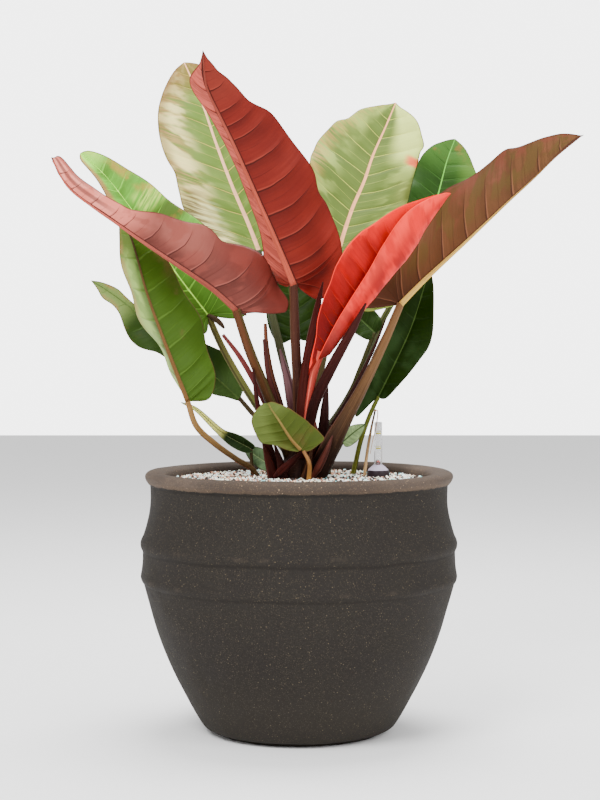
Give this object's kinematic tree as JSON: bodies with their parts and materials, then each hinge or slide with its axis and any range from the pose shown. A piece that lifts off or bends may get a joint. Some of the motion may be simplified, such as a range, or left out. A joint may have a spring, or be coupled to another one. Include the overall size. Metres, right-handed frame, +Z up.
{
  "type": "potted prince of orange philodendron",
  "caption": "Large aroid house plant with red, brown and green leaves in a round dark planter, filled with pale granulate and fitted with a sliding water gauge.",
  "frame": {"origin": "centre of the planter's underside", "axes": "+Z up, +X to the right of the side seen in the picture, which looks along -Y"},
  "size_m": [0.5628, 0.3537, 0.7601],
  "materials": {
    "stoneware": "matt speckled stoneware look",
    "substrate": "loose dark root substrate",
    "granulate": "loose pale gravel with darker grains",
    "gauge_base": "dark moulded plastic",
    "gauge_clear": "clear moulded plastic",
    "gauge_bars": "plain yellow bars",
    "gauge_red": "red moulded plastic",
    "stalk_red": "satin red-brown plant skin",
    "stalk_olive": "satin olive plant skin",
    "stalk_tan": "satin tan plant skin",
    "sheath_dry": "dry papery sheath",
    "leaf_brick": "satin leaf underside, brick red",
    "leaf_rose": "satin leaf underside, dusty rose",
    "leaf_brown": "satin leaf underside, olive brown",
    "leaf_young": "glossy young leaf, orange red",
    "leaf_pale": "glossy leaf, pale green",
    "leaf_green": "glossy leaf, mid green",
    "leaf_dark": "glossy leaf, dark green",
    "leaf_small": "glossy leaf, olive green"
  },
  "bodies": {
    "planter": {"planter": "stoneware", "substrate": "substrate", "granulate": "granulate", "gauge_shaft": "gauge_base", "gauge_head": "gauge_clear", "gauge_scale": "gauge_bars", "crown": "stalk_red", "rear_crown": "stalk_olive", "dry_strip": "sheath_dry", "stalk_green_big": "stalk_tan", "stalk_small_front": "stalk_tan", "stalk_dark_right": "stalk_olive", "stalk_small_right": "stalk_olive", "stalk_small_left": "stalk_tan", "stalk_low_left": "stalk_olive", "blade_front_red": "leaf_brick", "blade_left_red": "leaf_rose", "blade_right_brown": "leaf_brown", "blade_new": "leaf_young", "blade_pale_left": "leaf_pale", "blade_pale_right": "leaf_pale", "blade_green_right": "leaf_green", "blade_green_long": "leaf_green", "blade_green_big": "leaf_green", "blade_dark_left": "leaf_dark", "blade_dark_right": "leaf_dark", "blade_dark_back": "leaf_dark", "blade_dark_centre": "leaf_dark", "blade_small_front": "leaf_small", "blade_small_right": "leaf_small", "blade_small_left": "leaf_dark", "blade_low_left": "leaf_small"},
    "gauge_float": {"gauge_float": "gauge_red"}
  },
  "joints": [
    {"name": "float_slide", "type": "slide", "parent": "planter", "child": "gauge_float", "axis": [0, 0, 1], "range_m": [0, 0.034]}
  ]
}
